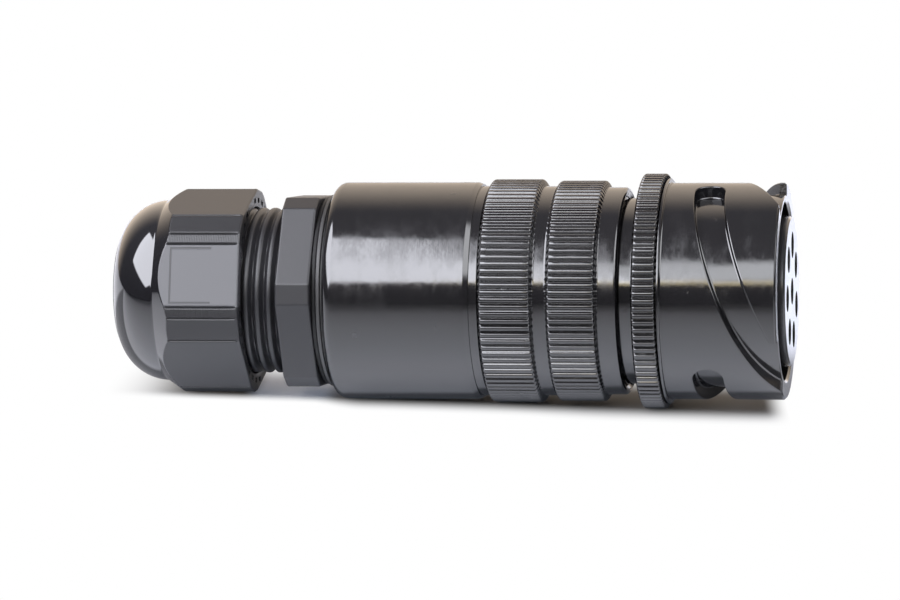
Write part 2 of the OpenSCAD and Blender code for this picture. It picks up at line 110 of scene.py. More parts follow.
def ring_quads(rows, columns):
    """Quads of a grid that closes on itself both along its profile and round the axis."""
    i, j = np.meshgrid(np.arange(rows), np.arange(columns), indexing="ij")
    here, below = i * columns, (i + 1) % rows * columns
    beside = (j + 1) % columns
    return np.stack([here + j, here + beside, below + beside, below + j], -1).reshape(-1, 4)


def ring(name, station, radius, turn, *rest, **more):
    """A ring: closed profiles, one for each column, swept round the axis. station and radius have one row
    for each point of the profile."""
    points = around(station, radius, np.asarray(turn)[None, :])
    rows, columns = points.shape[:2]
    points = points.reshape(-1, 3)
    quads = ring_quads(rows, columns)
    if grid_volume(points, quads) < 0:
        quads = quads[:, ::-1]
    piece(name, points, quads, *rest, **more)


class Rows:
    """Rows of a ring: each gets a station and a radius, one for all turns or one for each."""

    def __init__(self, turn):
        self.turn, self.stations, self.radii = turn, [], []

    def add(self, station, radius):
        """Adds a row behind the others."""
        self.stations.append(station + 0 * self.turn)
        self.radii.append(radius + 0 * self.turn)

    def ring(self, name, turned, *rest, **more):
        """Makes the ring, turned round the axis."""
        ring(name, np.array(self.stations), np.array(self.radii), self.turn + turned, *rest, **more)


def profile(corners, steps=4, support=0.06):
    """A closed profile through corners (station, radius, rounding): each rounding is an arc of the given
    steps between points on the two sides, with one more point just outside each end of the arc."""
    out = []
    n = len(corners)
    for k in range(n):
        p = np.array(corners[k][:2], float)
        size = corners[k][2]
        before = np.array(corners[k - 1][:2], float) - p
        after = np.array(corners[(k + 1) % n][:2], float) - p
        lb, la = np.linalg.norm(before), np.linalg.norm(after)
        before, after = before / lb, after / la
        if size <= 0:
            out.append(p)
            continue
        half = math.acos(np.clip(before @ after, -1, 1)) / 2
        back = size / math.tan(half)
        centre = p + (before + after) / np.linalg.norm(before + after) * size / math.sin(half)
        start, end = p + before * back, p + after * back
        v0, v1 = start - centre, end - centre
        whole = math.acos(np.clip(v0 @ v1 / size ** 2, -1, 1))
        if back + support < lb:
            out.append(start + before * support)
        for i in range(steps + 1):
            t = i / steps
            out.append(centre + (math.sin((1 - t) * whole) * v0 + math.sin(t * whole) * v1) / math.sin(whole))
        if back + support < la:
            out.append(end + after * support)
    return np.array(out)


def lathe(name, corners, columns, *rest, steps=4, **more):
    """A plain turned ring from a list of rounded corners."""
    p = profile(corners, steps)
    turn = np.arange(columns) * FULL / columns
    shape = (len(p), columns)
    ring(name, np.broadcast_to(p[:, :1], shape), np.broadcast_to(p[:, 1:], shape), turn, *rest, **more)


# ---------------- shader maths

class Tree:
    """Builds nodes of one material or world tree."""

    def __init__(self, tree):
        self.tree = tree
        tree.nodes.clear()

    def node(self, kind, settings=None, **inputs):
        """Adds one node; inputs are linked when they are sockets and set when they are values."""
        new = self.tree.nodes.new(kind)
        for key, value in (settings or {}).items():
            setattr(new, key, value)
        for key, value in inputs.items():
            name = key.replace("_", " ")
            target = new.inputs[int(key[1:])] if key[0] == "i" and key[1:].isdigit() else new.inputs[name]
            if isinstance(value, Sock):
                self.tree.links.new(value.socket, target)
            elif isinstance(value, bpy.types.NodeSocket):
                self.tree.links.new(value, target)
            else:
                target.default_value = value
        return new

    def math(self, operation, *values):
        """One Math node as a socket."""
        numbered = {f"i{k}": v for k, v in enumerate(values)}
        made = self.node("ShaderNodeMath", {"operation": operation}, **numbered)
        return Sock(self, made.outputs[0])


class Sock:
    """A number in the shader that can be added, subtracted, multiplied and divided."""

    def __init__(self, tree, socket):
        self.tree, self.socket = tree, socket

    def __add__(self, other): return self.tree.math("ADD", self, other)
    def __radd__(self, other): return self.tree.math("ADD", other, self)
    def __sub__(self, other): return self.tree.math("SUBTRACT", self, other)
    def __rsub__(self, other): return self.tree.math("SUBTRACT", other, self)
    def __mul__(self, other): return self.tree.math("MULTIPLY", self, other)
    def __rmul__(self, other): return self.tree.math("MULTIPLY", other, self)
    def __truediv__(self, other): return self.tree.math("DIVIDE", self, other)
    def __rtruediv__(self, other): return self.tree.math("DIVIDE", other, self)

    def step(self, low, high):
        """0 below low, 1 above high, smooth between."""
        made = self.tree.node("ShaderNodeMapRange", {"interpolation_type": "SMOOTHSTEP"}, Value=self)
        made.inputs["From Min"].default_value = low
        made.inputs["From Max"].default_value = high
        return Sock(self.tree, made.outputs["Result"])

    def sin(self): return self.tree.math("SINE", self)
    def abs(self): return self.tree.math("ABSOLUTE", self)


class Finish(Tree):
    """A material: one Principled surface whose colour, roughness and bump come from procedural maps."""

    def __init__(self, name, **constants):
        self.material = bpy.data.materials.new(name)
        self.material.use_nodes = True
        super().__init__(self.material.node_tree)
        self.out = self.node("ShaderNodeOutputMaterial")
        self.surface = self.node("ShaderNodeBsdfPrincipled")
        for key, value in constants.items():
            self.surface.inputs[key.replace("_", " ")].default_value = value
        self.top = self.surface.outputs[0]
        self.tree.links.new(self.top, self.out.inputs["Surface"])
        self.place = self.node("ShaderNodeTexCoord").outputs["Object"]
        parts = self.node("ShaderNodeSeparateXYZ", Vector=self.place)
        self.x, self.y, self.z = (Sock(self, parts.outputs[k]) for k in range(3))
        self.turn = self.math("ARCTAN2", self.y, self.z)
        self.heights = []

    def vector(self, x, y, z):
        """Three numbers as one vector."""
        return self.node("ShaderNodeCombineXYZ", X=x, Y=y, Z=z).outputs[0]

    def noise(self, scale, detail=2.0, rough=0.5, vector=None):
        """Soft noise from 0 to 1 over the object's own coordinates, or over a vector."""
        made = self.node("ShaderNodeTexNoise", Vector=vector or self.place, Scale=scale, Detail=detail,
                         Roughness=rough)
        return Sock(self, made.outputs[0])

    def cells(self, scale):
        """Distance to the nearest of scattered points."""
        made = self.node("ShaderNodeTexVoronoi", Vector=self.place, Scale=scale)
        return Sock(self, made.outputs["Distance"])

    def colour(self, amount, low, high):
        """Base colour between two colours by an amount."""
        mix = self.node("ShaderNodeMix", {"data_type": "RGBA", "clamp_factor": True})
        self.tree.links.new(amount.socket, mix.inputs[0])
        mix.inputs[6].default_value = (*low, 1)
        mix.inputs[7].default_value = (*high, 1)
        self.tree.links.new(mix.outputs[2], self.surface.inputs["Base Color"])

    def rough(self, value):
        """Roughness from a number in the shader."""
        self.tree.links.new(value.socket, self.surface.inputs["Roughness"])

    def bump(self, height, depth):
        """Adds height (0 to 1) times depth in metres to the surface's relief."""
        self.heights.append(height * depth)

    def blend(self, amount, shader):
        """Lays another shader over the surface by an amount."""
        both = self.node("ShaderNodeMixShader", i0=amount, i1=self.top, i2=shader.outputs[0])
        self.top = both.outputs[0]
        self.tree.links.new(self.top, self.out.inputs["Surface"])

    def painted_sheen(self, mask, low=0.72, high=0.86):
        """Painted reflection: where the mask is 1, a surface seen edge on reflects nearly everything."""
        facing = Sock(self, self.node("ShaderNodeLayerWeight", Blend=0.5).outputs["Facing"])
        self.blend(mask * facing.step(low, high),
                   self.node("ShaderNodeBsdfAnisotropic", Color=(0.86, 0.89, 0.95, 1), Roughness=0.22))

    def done(self):
        """Joins the reliefs in one Bump and returns the material."""
        if self.heights:
            total = self.heights[0]
            for height in self.heights[1:]:
                total = total + height
            made = self.node("ShaderNodeBump", Strength=1.0, Distance=1.0, Height=total)
            self.tree.links.new(made.outputs[0], self.surface.inputs["Normal"])
        return self.material


def black_coat(name, orange):
    """Gloss black coat on turned metal: orange peel of the given depth, faint turning marks, specks and
    stains. The barrel's boss is dull, the grooves' walls are darkened by painted shade, and the front edge
    gets a painted reflection when seen edge on."""
    f = Finish(name, IOR=2.2)
    for scale, rough, share in ((110.0, 0.5, 4), (420.0, 0.45, 3), (1500.0, 0.5, 0.8)):
        f.bump(f.noise(scale, 2.0, rough), orange * share)
    f.bump(f.noise(1.0, 3.0, 0.6, f.vector(f.x * 2600.0, f.y * 70.0, f.z * 70.0)), 1.8e-6)
    stain = f.noise(1.0, 4.0, 0.68, f.vector(f.x * 260.0, f.y * 170.0, f.z * 170.0)).step(0.44, 0.66)
    speck = f.cells(260.0).step(0.16, 0.11) * f.noise(160.0).step(0.60, 0.66)
    f.bump(speck, 1.2e-5)
    cloud = f.noise(55.0, 4.0, 0.6)
    f.colour(speck * 0.5 + cloud * 0.3, (0.0065, 0.0062, 0.0068), (0.022, 0.021, 0.023))
    boss = f.x.step(-0.0786, -0.0789)
    grain = f.noise(900.0, 3.0, 0.6)
    f.rough(0.065 + cloud * 0.05 + stain * 0.085 + boss * 0.45 + speck * 0.2 + grain * 0.03)
    r = f.math("SQRT", f.y * f.y + f.z * f.z)
    shell = SHELL_R * MM
    wall = r.step(shell - 0.00010, shell - 0.00022) * r.step(shell - 0.0021, shell - 0.0018)
    wall = wall * f.x.step(-0.0198, -0.0194)
    f.bump(f.noise(1900.0, 3.0, 0.7) * wall * f.x.step(-0.011, -0.007), 7e-5)
    # painted shade: the grooves' walls in front of the flange are blended 62 percent towards a dark diffuse
    f.blend(wall * 0.62, f.node("ShaderNodeBsdfDiffuse", Color=(0.012, 0.012, 0.014, 1)))
    # painted reflection on the front edge when seen edge on
    f.painted_sheen(f.x.step(-0.0004, -0.0002))
    return f.done()


def polyamide(name, low, high, rough, grain=1.6e-5, ior=1.5):
    """Moulded polyamide or rubber: spark-eroded grain, faint flow clouds and handling marks."""
    f = Finish(name, IOR=ior)
    f.bump(f.noise(2600.0, 3.0, 0.6), grain)
    f.bump(f.noise(300.0, 2.0, 0.5), 8e-6)
    cloud = f.noise(70.0, 4.0, 0.6)
    f.colour(cloud, low, high)
    f.rough(rough + cloud * 0.12)
    return f


COAT = black_coat("black_coat", 3.5e-6)
COAT_KNURL = black_coat("black_coat_knurl", 2.5e-6)
GLAND = polyamide("gland_polyamide", (0.012, 0.012, 0.014), (0.022, 0.022, 0.026), 0.34, 1.0e-5, 1.8).done()
INSERT = polyamide("insert_polymer", (0.02, 0.02, 0.022), (0.035, 0.035, 0.037), 0.16, 4e-6, 1.8)
# painted reflection on the insert's front face when seen edge on
INSERT.painted_sheen(INSERT.x.step(-0.03, -0.02))
INSERT = INSERT.done()
RUBBER = polyamide("seal_rubber", (0.010, 0.010, 0.011), (0.018, 0.018, 0.019), 0.5).done()
GREY_RUBBER = polyamide("grommet_rubber", (0.07, 0.07, 0.072), (0.10, 0.10, 0.102), 0.55).done()
PALE = polyamide("ring_polymer", (0.55, 0.55, 0.52), (0.65, 0.65, 0.62), 0.35).done()
CAGE = polyamide("cage_polyamide", (0.30, 0.30, 0.29), (0.38, 0.38, 0.37), 0.4).done()


def metal(name, low, high, rough):
    """Bright turned metal with fine lathe marks round it and a few dull spots."""
    f = Finish(name, Metallic=1.0)
    f.bump(f.noise(1.0, 2.0, 0.5, f.vector(f.x * 6000.0, f.y * 90.0, f.z * 90.0)), 2e-6)
    spots = f.noise(800.0, 3.0, 0.6)
    f.colour(spots, low, high)
    f.rough(rough + spots * 0.15)
    return f.done()


BRASS = metal("contact_brass", (0.80, 0.55, 0.20), (0.92, 0.70, 0.33), 0.18)
STEEL = metal("clip_steel", (0.55, 0.55, 0.57), (0.68, 0.68, 0.70), 0.25)

# ---------------- front shell: grooved tube

_, shell_rear, flange_r = span("front_shell")
shell_r, bore_r, plug_hole_r, rear_bore_r = SHELL_R, 15.5, 13.1, 13.9
flange_start, flange_end, web = 20.2, 25.1, (17.0, 19.0)
groove_depth, groove_w, groove_end, ramp_power = 2.2, 5.2, 12.4, 1.8
ramp_sweep, tip_sweep, last_sweep = (math.radians(t) for t in (118.5, 94.5, 135.5))
floor_r = shell_r - groove_depth
third = FULL / 3
top_fillet, floor_fillet = 0.22, 0.35
# rows of the tube's outside at its front edge, and on each of its three lands
HEAD, LANDS = 4, 4


def ramp(s):
    """Middle of a groove: it stays at the closed end's distance, then falls by a power of the turn."""
    s = np.maximum(s, 0)
    return groove_end * (1 - (s / ramp_sweep) ** ramp_power)


def ramp_cosine(s):
    """Cosine of the groove's slope against the turning direction."""
    s = np.maximum(s, 0)
    slope = groove_end * ramp_power / ramp_sweep * (s / ramp_sweep) ** (ramp_power - 1) / shell_r
    return 1 / np.sqrt(1 + slope ** 2)


def groove_rows():
    """Rows of half a groove from the land to its middle: (offset from the wall, depth)."""
    quarter = np.radians(np.linspace(0, 90, 5))
    rows = [(top_fillet + 0.08, 0.0)]
    rows += [(top_fillet * (1 - math.sin(t)), top_fillet * (1 - math.cos(t))) for t in quarter]
    rows += [(0.0, 0.8)]
    rows += [(-floor_fillet * (1 - math.cos(t)), groove_depth - floor_fillet * (1 - math.sin(t)))
             for t in quarter]
    rows += [(-floor_fillet - 0.1, groove_depth), (-1.4, groove_depth)]
    return np.array(rows)


HALF = groove_rows()
BACK = range(len(HALF) - 1, -1, -1)


def half_groove(s):
    """Axial half width and depth of each row at turn s. Before the start the outline is a round end,
    so a row whose circle has closed lies on the middle line, at the depth that the end wall has there."""
    offset, depth = HALF[:, 0], HALF[:, 1]
    reach = groove_w / 2 + offset
    if s >= 0:
        return reach / ramp_cosine(s), depth
    arc = -s * shell_r
    width = np.sqrt(np.maximum(reach ** 2 - arc ** 2, 0))
    open_rows = reach > arc + 1e-9
    if open_rows.all():
        return width, depth
    last = np.flatnonzero(open_rows).max() if open_rows.any() else -1
    if last < 0:
        return width, np.zeros_like(depth)
    here = depth[last]
    if last + 1 < len(depth):
        here = np.interp(arc - groove_w / 2, offset[[last + 1, last]], depth[[last + 1, last]])
    return width, np.where(open_rows, depth, here)


def tube_column(s, cut):
    """One column of the grooved tube's outside: station and radius of every row, from the front edge to
    the flange. s is the turn from the own groove's start; cut says that the front land is missing."""
    rows = []
    # groove of the sector before, on its way out of the front edge
    front = s + third
    width, depth = half_groove(front)
    open_front = front < last_sweep and ramp(front) + width[0] > 0.02
    front_r = floor_r if open_front or cut else shell_r
    rim = 0.12 if open_front or cut else 0.35
    rows += [(0.0, front_r - rim - 0.15), (0.0, front_r - rim), (rim, front_r), (rim + 0.05, front_r)]
    start = rim + 0.06
    rows += [(start, front_r)] * LANDS
    for k in BACK:
        if open_front:
            rows.append((max(start, ramp(front) + width[k]), max(floor_r, shell_r - depth[k])))
        else:
            rows.append((start, front_r))
    edge = rows[-1][0]
    # own groove
    width, depth = half_groove(s)
    wall = max(ramp(s) - width[0], edge)
    land_r = floor_r if cut else shell_r
    rows += [(edge + (wall - edge) * k / (LANDS + 1), land_r) for k in range(1, LANDS + 1)]
    rows += [(max(ramp(s) - w, edge), floor_r if cut else shell_r - d) for w, d in zip(width, depth)]
    rows += [(max(ramp(s) + width[k], edge), shell_r - depth[k]) for k in BACK]
    last, end = rows[-1][0], flange_start + 0.3
    rows += [(last + (end - last) * k / (LANDS + 1), shell_r) for k in range(1, LANDS + 2)]
    return np.array(rows, float)


def tube_turns():
    """Turns of one sector's columns: dense over the round end, then even, doubled at the cut tip."""
    radius = groove_w / 2
    arcs = [radius + HALF[0, 0] + 0.3] + [radius + h for h in HALF[:6, 0]]
    arcs[-1] += 1e-4
    arcs += [radius - 1e-4] + [radius + h for h in HALF[8:12, 0]]
    arcs += [radius * math.cos(t) for t in np.radians([35, 42, 50, 58, 66, 74, 82])]
    turns = [(-a / shell_r, False) for a in arcs]
    first = turns[0][0]
    turns += [(t, False) for t in np.linspace(0, tip_sweep, 118)]
    turns += [(tip_sweep + 1e-5, True)]
    turns += [(t, True) for t in np.linspace(tip_sweep, third + first, 16)[1:-1]]
    return sorted(set(turns))


def build_tube():
    """The grooved tube: three equal sectors of columns. At each sector's end its own groove becomes the
    next sector's front groove, so the last strip joins row to row with that shift."""
    turns = tube_turns()
    columns = [tube_column(s, cut) for s, cut in turns]
    inside = np.array([
        (flange_start + 0.3, rear_bore_r), (web[1], rear_bore_r), (web[1], plug_hole_r + 0.1),
        (web[1] - 0.1, plug_hole_r), (web[0] + 0.1, plug_hole_r), (web[0], plug_hole_r + 0.1),
        (web[0], bore_r - 0.2), (web[0] - 0.2, bore_r), (0.45, bore_r), (0.4, bore_r),
        (0.0, bore_r + 0.4), (0.0, bore_r + 0.45)])
    per, n_out = len(turns), len(columns[0])
    n_rows = n_out + len(inside)
    points = []
    for sector in range(3):
        for (s, _), outside in zip(turns, columns):
            a, r = np.concatenate([outside, inside]).T
            points.append(around(a, r, CLOCK + third * sector - s))
    # rows: head, land, front groove, land, own groove in two halves, land
    half = len(HALF)
    i_front = HEAD + LANDS
    i_land2 = i_front + half
    i_own = i_land2 + LANDS
    i_land3 = i_own + 2 * half
    faces = []

    def strip(left, right, rows):
        """Quads between two columns."""
        for i in rows:
            i2 = (i + 1) % n_rows
            faces.append((left + i, right + i, right + i2, left + i2))

    for sector in range(3):
        base = sector * per
        for j in range(base, base + per - 1):
            strip(j * n_rows, (j + 1) * n_rows, range(n_rows))
        # the strip to the sector that follows with falling turn
        c0, c1 = (base + per - 1) * n_rows, ((sector - 1) % 3) * per * n_rows
        strip(c0, c1, [*range(HEAD - 1), *range(n_out - 1, n_rows)])
        # front floor: everything before the own groove's rear half, against the next one's front rows
        left = [c0 + i for i in range(HEAD - 1, i_own + half + 1)]
        right = [c1 + i for i in range(HEAD - 1, i_front + 1)]
        faces.append(tuple(right + left[::-1]))
        own, front = c0 + i_own + half, c1 + i_front
        faces += [(own + k, front + k, front + k + 1, own + k + 1) for k in range(half - 1)]
        # rear land: one long face takes the rows of the slit that opens here
        left = [c0 + i_land3 - 1, c0 + i_land3]
        right = [c1 + i for i in range(i_land2 - 1, i_land3 + 1)]
        faces.append(tuple(right + left[::-1]))
        strip(c0, c1, range(i_land3, n_out - 1))
    return np.concatenate(points), faces


points, faces = build_tube()
if volume(points, faces) < 0:
    faces = [f[::-1] for f in faces]
piece("grooved_tube", points, faces, COAT, "front", "black_coat", stands_for=("front_shell",))

# ---------------- knurled rings

SLEEVE_TEETH, FLANGE_TEETH = 96, 100
# how much ridges differ, as a share of their depth, and how far short their sides stop, in mm
RIDGE_SPREAD, RIDGE_LAG = 0.06, 0.15


def knurl_turns(teeth):
    """Turns of the columns over every ridge, and each column's place u from 0 to 1 within its ridge."""
    u = np.array([0.0, 0.10, 0.17, 0.22, 0.27, 0.34, 0.5, 0.66, 0.73, 0.78, 0.83, 0.90])
    turn = (np.arange(teeth)[:, None] + u[None, :]) * FULL / teeth
    return turn.reshape(-1), np.tile(u, teeth)


def ridge_drop(u):
    """How far the knurl lies below its crest, from 0 to 1: a flat top over the middle, round shoulders and
    a round valley."""
    return np.clip((np.abs(u - 0.5) - 0.19) / 0.24, 0, 1) ** 1.2


def ridge_wobble(turn, teeth):
    """Small seeded differences from ridge to ridge."""
    index = np.floor(turn / FULL * teeth).astype(int) % teeth
    return 1 + RNG.normal(0, RIDGE_SPREAD, teeth)[index]


def knurl_ring(name, sections, inner, teeth, *rest, **more):
    """A ring with plain and knurled sections. sections: rows of (station, radius, crest radius, depth of the
    knurl) from front to rear, then inner, the rows that close the ring. The knurl never rises above the
    section's own radius. Each ridge ends in a round loop, as its sides stop short of its middle."""
    turn, u = knurl_turns(teeth)
    rows = np.array(sections, float)
    crest, depth = rows[:, 2:3], rows[:, 3:4]
    a = np.repeat(rows[:, 0:1], len(turn), 1)
    r = np.repeat(rows[:, 1:2], len(turn), 1)
    lag = (RIDGE_LAG * np.clip(np.abs(u - 0.5) / 0.3, 0, 1) ** 2)[None, :]
    ends = np.minimum(*(np.interp(a + way * lag, rows[:, 0], rows[:, 1]) for way in (-1, 1)))
    drop = (ridge_drop(u) * ridge_wobble(turn, teeth))[None, :]
    knurl = crest - depth * np.clip(drop, 0, 1.15)
    r = np.where(depth > 0, np.minimum(np.minimum(r, ends), knurl), r)
    inner = np.array(inner, float)
    a = np.concatenate([a, np.repeat(inner[:, 0:1], len(turn), 1)])
    r = np.concatenate([r, np.repeat(inner[:, 1:2], len(turn), 1)])
    ring(name, a, r, turn, *rest, **more)


def plain_rows(*rows):
    """Rows of a plain section, from stations and radii."""
    return [(a, r, 0, 0) for a, r in rows]


def band(start, end, crest, foot_front, foot_rear, cut=0.75, depth=0.40):
    """Rows of a knurled band: chamfers with round shoulders at both ends, dense where ridges run out."""
    climb = [(k, math.sin(k * math.pi / 2) ** 0.9) for k in np.linspace(0, 1, 9)]
    out = [(start + cut * k, foot_front + (crest - foot_front) * up, crest, depth) for k, up in climb]
    flat = end - start - 2 * cut
    out += [(start + cut + flat * k, crest, crest, depth) for k in np.linspace(0.1, 0.9, 5)]
    out += [(end - cut * k, foot_rear + (crest - foot_rear) * up, crest, depth) for k, up in climb[::-1]]
    return out


rim, back, hub_r = flange_start - 0.3, flange_end - 0.35, 16.15
sections = plain_rows(
    (flange_start + 0.35, shell_r - 0.6), (flange_start + 0.3, shell_r - 0.3),
    (rim - 0.22, shell_r + 0.01), (rim - 0.12, shell_r + 0.03), (rim - 0.03, shell_r + 0.1),
    (rim, shell_r + 0.25), (rim, shell_r + 0.3), (rim, flange_r - 1.05), (rim, flange_r - 1.0),
    (rim + 0.06, flange_r - 0.9), (rim + 0.14, flange_r - 0.84), (rim + 0.38, flange_r - 0.82),
    (rim + 0.44, flange_r - 0.84), (rim + 0.5, flange_r - 0.95), (rim + 0.53, flange_r - 0.96))
sections += band(rim + 0.55, back, flange_r, flange_r - 0.7, flange_r - 0.8, 0.45, 0.42)
sections += plain_rows(
    (back, flange_r - 0.9), (back, hub_r + 0.35), (back, hub_r + 0.25), (back + 0.06, hub_r + 0.07),
    (back + 0.2, hub_r), (flange_end + 0.2, hub_r), (flange_end + 0.2, 15.4))
knurl_ring("knurled_flange", sections,
           [(flange_end, rear_bore_r + 0.02), (flange_start + 0.35, rear_bore_r + 0.02)], FLANGE_TEETH,
           COAT_KNURL, "front", "black_coat", stands_for=("front_shell",))

sleeve_front, sleeve_rear, band_r = span("knurled_sleeve")
shoulder_r, front_band_r, waist_r = 18.05, 19.2, 18.25
front_bore_r, rear_bore, web_r = 16.55, 16.65, 14.0
front_band = sleeve_front + 3.5
waist = front_band + 8.8
rear_band = waist + 2.3
sections = plain_rows(
    (sleeve_front + 0.1, shoulder_r - 0.75), (sleeve_front, shoulder_r - 0.7),
    (sleeve_front, shoulder_r - 0.6), (sleeve_front + 0.1, shoulder_r - 0.35),
    (sleeve_front + 0.3, shoulder_r - 0.12), (sleeve_front + 0.55, shoulder_r),
    (sleeve_front + 0.65, shoulder_r), (front_band - 0.3, shoulder_r), (front_band - 0.22, shoulder_r),
    (front_band - 0.08, shoulder_r + 0.05))
sections += band(front_band, waist, front_band_r, shoulder_r + 0.2, waist_r + 0.2)
sections += plain_rows(
    (waist + 0.08, waist_r + 0.05), (waist + 0.25, waist_r), (waist + 0.35, waist_r),
    (rear_band - 0.35, waist_r), (rear_band - 0.25, waist_r), (rear_band - 0.08, waist_r + 0.05))
sections += band(rear_band, sleeve_rear, band_r, waist_r + 0.2, band_r - 0.95)
sections += plain_rows((sleeve_rear, band_r - 1.0), (sleeve_rear, 16.8))
knurl_ring("sleeve_knurled", sections,
           [(sleeve_rear, rear_bore), (sleeve_rear - 8.8, rear_bore), (sleeve_rear - 8.8, web_r),
            (sleeve_rear - 11.4, web_r), (sleeve_rear - 11.4, front_bore_r),
            (sleeve_front + 0.5, front_bore_r), (sleeve_front + 0.1, 17.0)], SLEEVE_TEETH,
           COAT_KNURL, "backshell", "black_coat", stands_for=("knurled_sleeve",))

# ---------------- threads

def thread_drop(phase, depth, flank):
    """How far a thread lies below its crest at a phase from 0 to 1. flank: the shares of the wave between
    which the side slopes, and the power that bends it."""
    wave = 0.5 - 0.5 * np.cos(FULL * phase)
    return depth * np.clip((wave - flank[0]) / (flank[1] - flank[0]), 0, 1) ** flank[2]


def threaded(name, start, end, crest_r, depth, pitch, step, closing, *rest,
             flank=(0.0, 1.0, 2.0), plain=(0.0, 0.0), **more):
    """A stud with a real helical thread: the profile's phase grows with distance and with turn. Over the
    last millimetre the thread fades into its core. plain: the station up to which the stud has the radius
    that follows; closing: the rows that close the ring inside; step: distance between rows."""
    columns = 240
    turn = np.arange(columns) * FULL / columns
    a = np.arange(start, end + step / 2, step)
    a[-1] = end
    phase = (a[:, None] / pitch + turn[None, :] / FULL) % 1.0
    drop = thread_drop(phase, depth, flank)
    drop = depth - (depth - drop) * np.sqrt(np.clip(end - a, 0, 1)[:, None])
    r = np.where(a[:, None] < plain[0], plain[1], crest_r - drop)
    closing = np.array(closing, float)
    a = np.concatenate([np.repeat(a[:, None], columns, 1), np.repeat(closing[:, :1], columns, 1)])
    r = np.concatenate([r, np.repeat(closing[:, 1:], columns, 1)])
    ring(name, a, r, turn, *rest, **more)


neck_r, ring_groove_r, neck_bore_r = 16.4, 14.95, rear_bore_r + 0.01
threaded("neck_thread", flange_end - 0.1, 32.3, neck_r, 0.75, 1.4, 0.07,
         [(32.35, 16.35), (32.4, neck_r), (32.5, neck_r), (32.5, ring_groove_r), (34.3, ring_groove_r),
          (34.3, neck_r), (34.9, neck_r), (shell_rear, 16.2), (shell_rear, rear_bore_r + 0.2),
          (shell_rear - 0.2, neck_bore_r), (flange_end - 0.1, neck_bore_r)],
         COAT, "front", "black_coat", flank=(0.1, 0.9, 1.0), plain=(27.4, hub_r), stands_for=("front_shell",))

# ---------------- barrel and gasket

barrel_front, barrel_rear, barrel_r = span("rear_barrel")
boss_r, spigot_r, spigot_groove_r, barrel_bore_r, joint_r = 16.8, 16.6, 15.05, 14.9, 18.3
bevel, barrel_end, joint = sleeve_rear + 1.55, barrel_rear - 1.2, sleeve_rear + 0.05
lathe("barrel_smooth", [
    (barrel_front, barrel_bore_r, 0.1), (barrel_front, spigot_r, 0.3), (barrel_front + 1.65, spigot_r, 0),
    (barrel_front + 1.65, spigot_groove_r, 0), (barrel_front + 3.4, spigot_groove_r, 0),
    (barrel_front + 3.4, spigot_r, 0), (joint, spigot_r, 0), (joint, joint_r, 0.12), (bevel, joint_r, 0.05),
    (bevel, 18.6, 0.06), (bevel + 0.85, barrel_r, 0.12), (barrel_end, barrel_r, 1.75),
    (barrel_end, boss_r - 0.45, 0.08), (barrel_end + 0.45, boss_r - 0.45, 0.08),
    (barrel_end + 0.45, boss_r, 0.16), (barrel_rear, boss_r, 0.3), (barrel_rear, 14.2, 0.1),
    (barrel_end - 8, 14.2, 0), (barrel_end - 8, barrel_bore_r, 0)
], 320, COAT, "backshell", "black_coat", steps=6, stands_for=("rear_barrel",))

gasket_front, gasket_rear, gasket_r = span("gland_gasket")
lathe("gasket_smooth", [(gasket_front, 14.3, 0), (gasket_front, gasket_r, 0.2), (gasket_rear, gasket_r, 0.2),
                        (gasket_rear, 14.3, 0)],
      200, RUBBER, "backshell", "seal_rubber", stands_for=("gland_gasket",))

# ---------------- gland body

gland_front, gland_rear, _ = span("gland_body")
hex_w = 6.1
hex_start = gasket_rear + 0.05
hex_end = hex_start + hex_w
hex_turn = math.radians(11.6)
hex_flat, hex_corner, gland_bore_r, cage_seat_r = 16.5, 18.0, 10.4, 12.25
MIDDLE_R = 16.0


def smooth_least(values, soft):
    """Smooth smallest of several radii: minus soft times the logarithm of the sum of their exponentials,
    taken about a middle radius so that none grows too large."""
    return MIDDLE_R - soft * np.log(sum(np.exp(-(v - MIDDLE_R) / soft) for v in values))


def flats(turn, faces, soft):
    """Radius of a many-sided outline: the smooth smallest of distance over cosine, over all the flats
    (turn, distance). A flat that looks away counts as far off."""
    reach = [np.where(np.cos(turn - at) > 0.2, distance / np.maximum(np.cos(turn - at), 0.2), 1e3)
             for at, distance in faces]
    return smooth_least(reach, soft)


def hex_turns():
    """Columns of the hexagon: even, and dense where flats meet cut corners."""
    one = set(np.round(np.arange(0, 60, 2.0), 3))
    for meet in (24.8, 35.2):
        one |= set(np.round(meet + np.linspace(-1.6, 1.6, 9), 3))
    one = np.array(sorted(one))
    return np.radians(np.concatenate([one + 60 * k for k in range(6)])) + hex_turn


turn = hex_turns()
outline = flats(turn, [(hex_turn + k * FULL / 6, hex_flat) for k in range(6)] +
                [(hex_turn + (k + 0.5) * FULL / 6, hex_corner) for k in range(6)], 0.035)
edge = [(0.0, -0.75), (0.0, -0.35), (0.05, -0.2), (0.14, -0.08), (0.26, -0.015), (0.36, 0.0), (0.5, 0.0)]
rows = Rows(turn)
for r in (14.5, 15.4):
    rows.add(hex_start, r)
for a, d in edge:
    rows.add(hex_start + a, outline + d)
for k in (0.25, 0.5, 0.75):
    rows.add(hex_start + hex_w * k, outline)
for a, d in edge[::-1]:
    rows.add(hex_end - a, outline + d)
for r in (15.2, 14.6, gland_bore_r):
    rows.add(hex_end, r)
rows.add(hex_start, gland_bore_r)
rows.ring("gland_hexagon", 0, GLAND, "backshell", "gland_polyamide", stands_for=("gland_body",))

